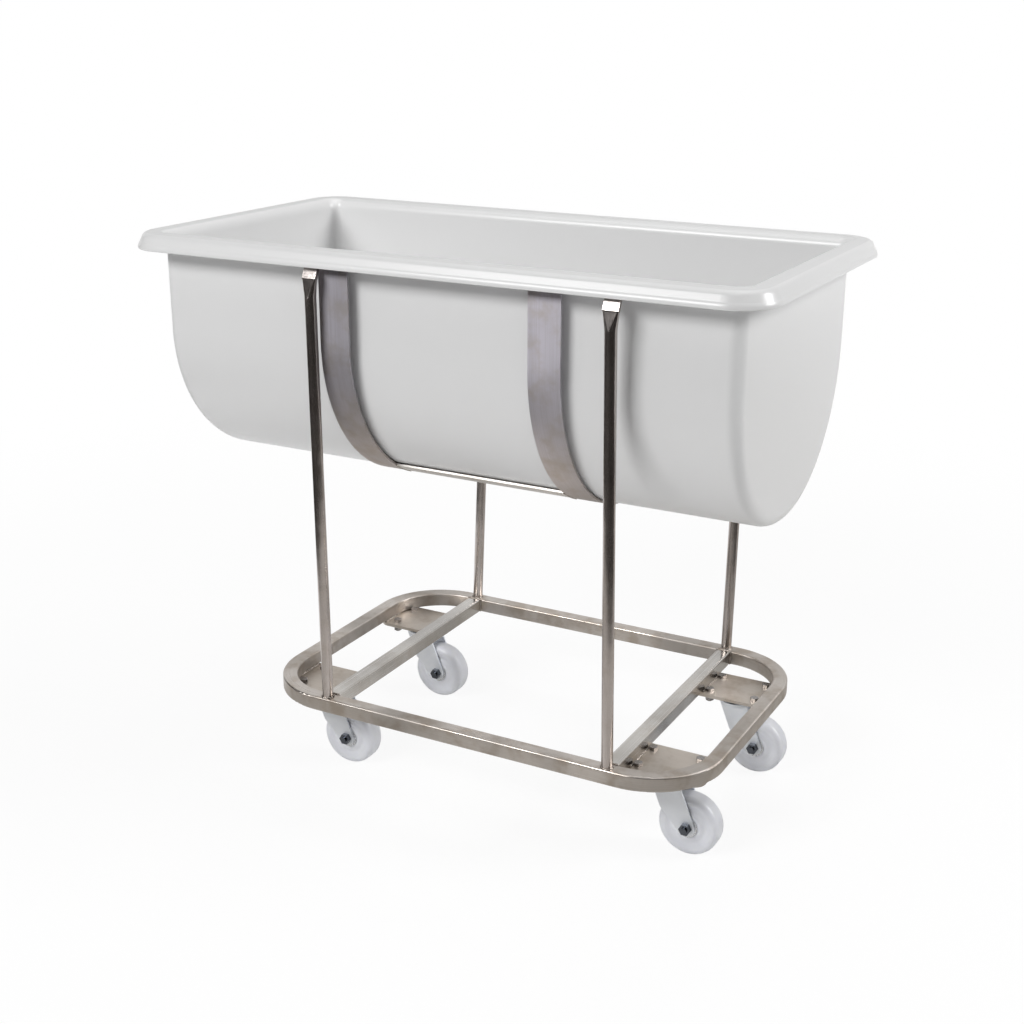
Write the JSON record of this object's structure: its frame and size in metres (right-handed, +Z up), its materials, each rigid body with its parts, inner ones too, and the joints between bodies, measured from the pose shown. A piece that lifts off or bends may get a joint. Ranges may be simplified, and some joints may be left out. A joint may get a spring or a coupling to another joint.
{
  "type": "plastic trough",
  "caption": "U-shaped plastic trough with a rolled rim, lying in a stainless-steel strap cradle on a wheeled ring base with swivel casters.",
  "frame": {"origin": "on the floor under the middle of the tub's rim", "axes": "+X along the trough to the right, +Y to the back, +Z up"},
  "size_m": [1.0772, 0.5732, 0.913],
  "materials": {
    "tub_plastic": "satin moulded polyethylene, light grey",
    "stainless": "brushed stainless steel with welds",
    "caster_zinc": "zinc-plated pressed steel",
    "wheel_nylon": "white nylon, smooth",
    "dust_seal": "matt black",
    "fastener_steel": "bright zinc-plated steel",
    "ball_steel": "polished"
  },
  "bodies": {
    "frame": {"base_ring": "stainless", "cross_member_left": "stainless", "cross_member_right": "stainless", "strap_left": "stainless", "strap_right": "stainless", "tie_bar_front": "stainless", "tie_bar_rear": "stainless", "top_rail_front": "stainless", "top_rail_rear": "stainless", "plate_bolts": "fastener_steel", "plate_washers": "fastener_steel", "plate_nuts": "fastener_steel", "upright_front_left": "stainless", "mount_plate_front_left": "stainless", "caster_plate_front_left": "caster_zinc", "dust_ring_front_left": "dust_seal", "swivel_balls_front_left": "ball_steel", "king_pin_front_left": "fastener_steel", "upright_front_right": "stainless", "mount_plate_front_right": "stainless", "caster_plate_front_right": "caster_zinc", "dust_ring_front_right": "dust_seal", "swivel_balls_front_right": "ball_steel", "king_pin_front_right": "fastener_steel", "upright_rear_left": "stainless", "mount_plate_rear_left": "stainless", "caster_plate_rear_left": "caster_zinc", "dust_ring_rear_left": "dust_seal", "swivel_balls_rear_left": "ball_steel", "king_pin_rear_left": "fastener_steel", "upright_rear_right": "stainless", "mount_plate_rear_right": "stainless", "caster_plate_rear_right": "caster_zinc", "dust_ring_rear_right": "dust_seal", "swivel_balls_rear_right": "ball_steel", "king_pin_rear_right": "fastener_steel"},
    "tub": {"tub": "tub_plastic"},
    "caster_fork_front_left": {"fork_front_left": "caster_zinc", "wheel_bush_front_left": "fastener_steel", "axle_bolt_front_left": "fastener_steel", "axle_nut_front_left": "fastener_steel"},
    "caster_wheel_front_left": {"wheel_front_left": "wheel_nylon"},
    "caster_fork_front_right": {"fork_front_right": "caster_zinc", "wheel_bush_front_right": "fastener_steel", "axle_bolt_front_right": "fastener_steel", "axle_nut_front_right": "fastener_steel"},
    "caster_wheel_front_right": {"wheel_front_right": "wheel_nylon"},
    "caster_fork_rear_left": {"fork_rear_left": "caster_zinc", "wheel_bush_rear_left": "fastener_steel", "axle_bolt_rear_left": "fastener_steel", "axle_nut_rear_left": "fastener_steel"},
    "caster_wheel_rear_left": {"wheel_rear_left": "wheel_nylon"},
    "caster_fork_rear_right": {"fork_rear_right": "caster_zinc", "wheel_bush_rear_right": "fastener_steel", "axle_bolt_rear_right": "fastener_steel", "axle_nut_rear_right": "fastener_steel"},
    "caster_wheel_rear_right": {"wheel_rear_right": "wheel_nylon"}
  },
  "joints": [
    {"name": "tub_lift", "type": "slide", "parent": "frame", "child": "tub", "axis": [0, 0, 1], "range_m": [0, 0.42]},
    {"name": "swivel_front_left", "type": "hinge", "parent": "frame", "child": "caster_fork_front_left", "pos_m": [-0.25399, -0.152, 0.127], "axis": [0, 0, 1], "continuous": true},
    {"name": "wheel_spin_front_left", "type": "hinge", "parent": "caster_fork_front_left", "child": "caster_wheel_front_left", "pos_m": [-0.21399, -0.152, 0.05], "axis": [0, 1, 0], "continuous": true},
    {"name": "swivel_front_right", "type": "hinge", "parent": "frame", "child": "caster_fork_front_right", "pos_m": [0.37799, -0.152, 0.127], "axis": [0, 0, 1], "continuous": true},
    {"name": "wheel_spin_front_right", "type": "hinge", "parent": "caster_fork_front_right", "child": "caster_wheel_front_right", "pos_m": [0.41799, -0.152, 0.05], "axis": [0, 1, 0], "continuous": true},
    {"name": "swivel_rear_left", "type": "hinge", "parent": "frame", "child": "caster_fork_rear_left", "pos_m": [-0.25399, 0.152, 0.127], "axis": [0, 0, 1], "continuous": true},
    {"name": "wheel_spin_rear_left", "type": "hinge", "parent": "caster_fork_rear_left", "child": "caster_wheel_rear_left", "pos_m": [-0.21399, 0.152, 0.05], "axis": [0, 1, 0], "continuous": true},
    {"name": "swivel_rear_right", "type": "hinge", "parent": "frame", "child": "caster_fork_rear_right", "pos_m": [0.37799, 0.152, 0.127], "axis": [0, 0, 1], "continuous": true},
    {"name": "wheel_spin_rear_right", "type": "hinge", "parent": "caster_fork_rear_right", "child": "caster_wheel_rear_right", "pos_m": [0.41799, 0.152, 0.05], "axis": [0, 1, 0], "continuous": true}
  ]
}
